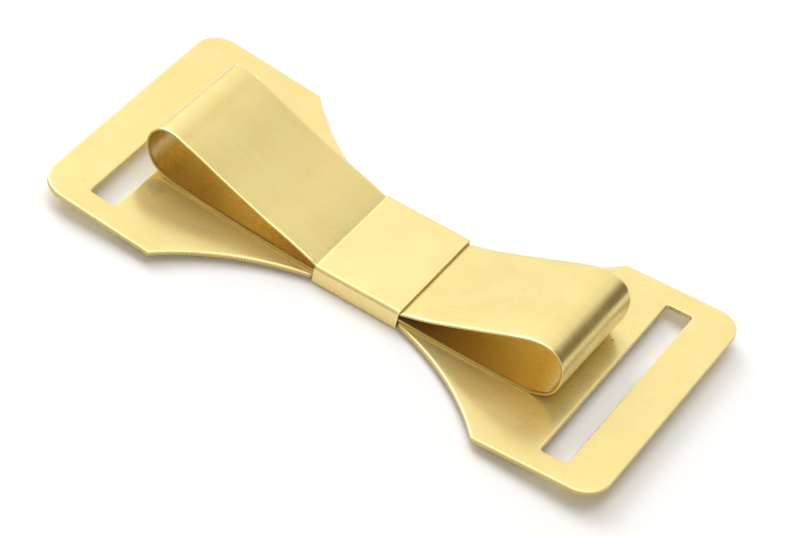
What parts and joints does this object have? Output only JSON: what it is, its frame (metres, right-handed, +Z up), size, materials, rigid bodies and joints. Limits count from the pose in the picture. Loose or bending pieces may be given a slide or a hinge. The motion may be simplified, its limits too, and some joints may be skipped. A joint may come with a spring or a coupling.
{
  "type": "bow clip",
  "caption": "Sheet-brass bow clip: a looped bow strip held on a waisted plate by a wrapped centre band, with a strap slot near each end of the plate.",
  "frame": {"origin": "under the middle of the centre band, on the flat underside that the clip rests on", "axes": "+X along the plate, towards the shorter loop; +Y across the plate; +Z up, from the plate towards the bow"},
  "size_m": [0.093, 0.0458, 0.0122],
  "materials": {
    "plate_brass": "raw, satin, with a polished rim",
    "strip_brass": "raw, fine brushed grain along the strip",
    "band_brass": "raw, satin"
  },
  "bodies": {
    "root": {"base_plate": "plate_brass", "bow_strip": "strip_brass", "centre_band": "band_brass"}
  },
  "joints": []
}
